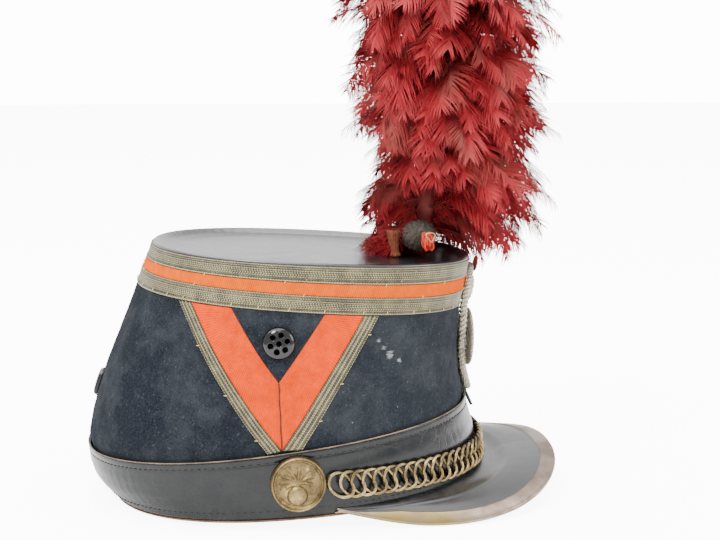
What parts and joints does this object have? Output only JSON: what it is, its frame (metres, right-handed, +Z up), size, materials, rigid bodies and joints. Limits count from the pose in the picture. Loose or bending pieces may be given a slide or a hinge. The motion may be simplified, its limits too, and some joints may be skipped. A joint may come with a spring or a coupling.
{
  "type": "shako hat",
  "caption": "Stiff cloth dress cap with leather band, arched bound peak, braid ring and chevrons, chin chain on round bosses, front cord with cockade and an upright feather plume.",
  "frame": {"origin": "bottom centre of the bounding box as the cap rests on a floor", "axes": "+Z up, -Y to the cap's front, -X to the wearer's right; lengths in metres"},
  "size_m": [0.1786, 0.2578, 0.315],
  "materials": {
    "navy_cloth": "dusty napped wool cloth",
    "black_patent": "glossy patent leather, cracked",
    "brown_leather": "worn sweatband leather",
    "silver_lace": "tarnished silver lace",
    "orange_wool": "ribbed orange wool braid",
    "aged_brass": "aged brass",
    "black_enamel": "glossy black enamel",
    "silver_cord": "plaited tarnished silver cord",
    "green_metal": "dark green painted metal",
    "red_feather": "dyed cock feathers",
    "grey_wool": "grey-brown wound wool",
    "orange_cord": "orange-red wound cord"
  },
  "bodies": {
    "root": {"crown_body": "navy_cloth", "crown_top": "black_patent", "sweatband": "brown_leather", "head_band": "black_patent", "galon_lace_lower": "silver_lace", "galon_stripe": "orange_wool", "galon_lace_upper": "silver_lace", "chevron_left_orange": "orange_wool", "chevron_left_lace_front": "silver_lace", "chevron_left_lace_rear": "silver_lace", "chevron_right_orange": "orange_wool", "chevron_right_lace_front": "silver_lace", "chevron_right_lace_rear": "silver_lace", "peak": "black_patent", "peak_binding": "aged_brass", "chin_chain": "aged_brass", "boss_left": "aged_brass", "boss_right": "aged_brass", "vent_left": "black_enamel", "vent_right": "black_enamel", "front_cord": "silver_cord", "cord_knot": "silver_cord", "cockade": "silver_cord", "cord_tongue": "green_metal", "front_tab": "green_metal", "rear_tab": "black_patent", "plume_feathers": "red_feather", "plume_bulb": "grey_wool", "plume_stem": "orange_cord", "plume_bead": "orange_cord"}
  },
  "joints": []
}
